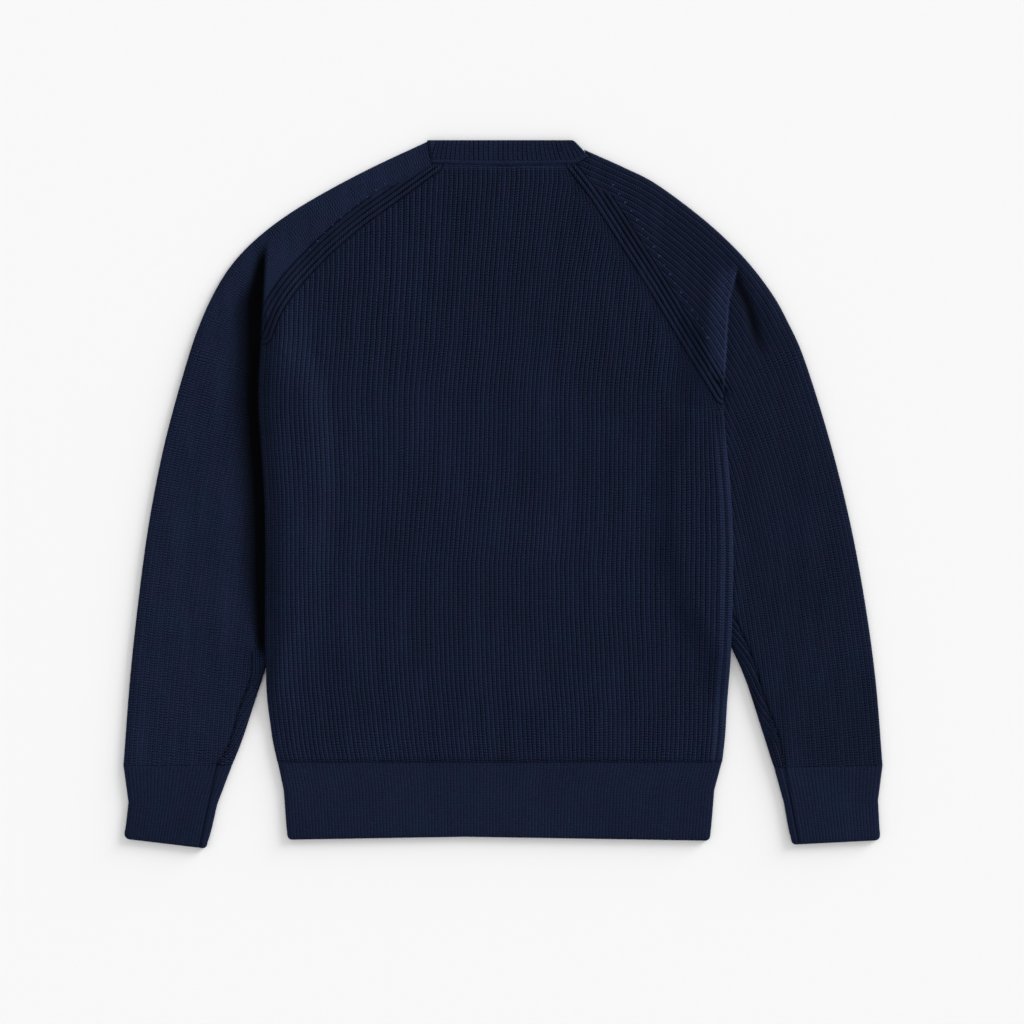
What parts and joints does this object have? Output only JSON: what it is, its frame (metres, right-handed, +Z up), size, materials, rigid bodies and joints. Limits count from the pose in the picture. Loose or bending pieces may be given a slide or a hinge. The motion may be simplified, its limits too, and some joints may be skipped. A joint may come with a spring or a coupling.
{
  "type": "crewneck sweater",
  "caption": "Crewneck sweater in a chunky navy rib knit with raglan sleeves, laid flat with its back up; it keeps its wearer warm.",
  "frame": {"origin": "on the surface the sweater lies on, under the middle of its bounding box", "axes": "+Z up, out of the sweater's back, which lies uppermost; +Y along the body towards the neck; +X across, towards the sleeve on the right as seen from above"},
  "size_m": [0.76, 0.709, 0.0129],
  "materials": {
    "rib_knit": "matte navy wool in a chunky rib knit",
    "fine_rib": "matte navy wool in a fine 1x1 rib"
  },
  "bodies": {
    "root": {"back_panel": "rib_knit", "front_panel": "rib_knit", "sleeve_left": "rib_knit", "sleeve_right": "rib_knit", "neckband": "fine_rib", "hem_rib_back": "fine_rib", "hem_rib_front": "fine_rib", "cuff_left": "fine_rib", "cuff_right": "fine_rib"}
  },
  "joints": []
}
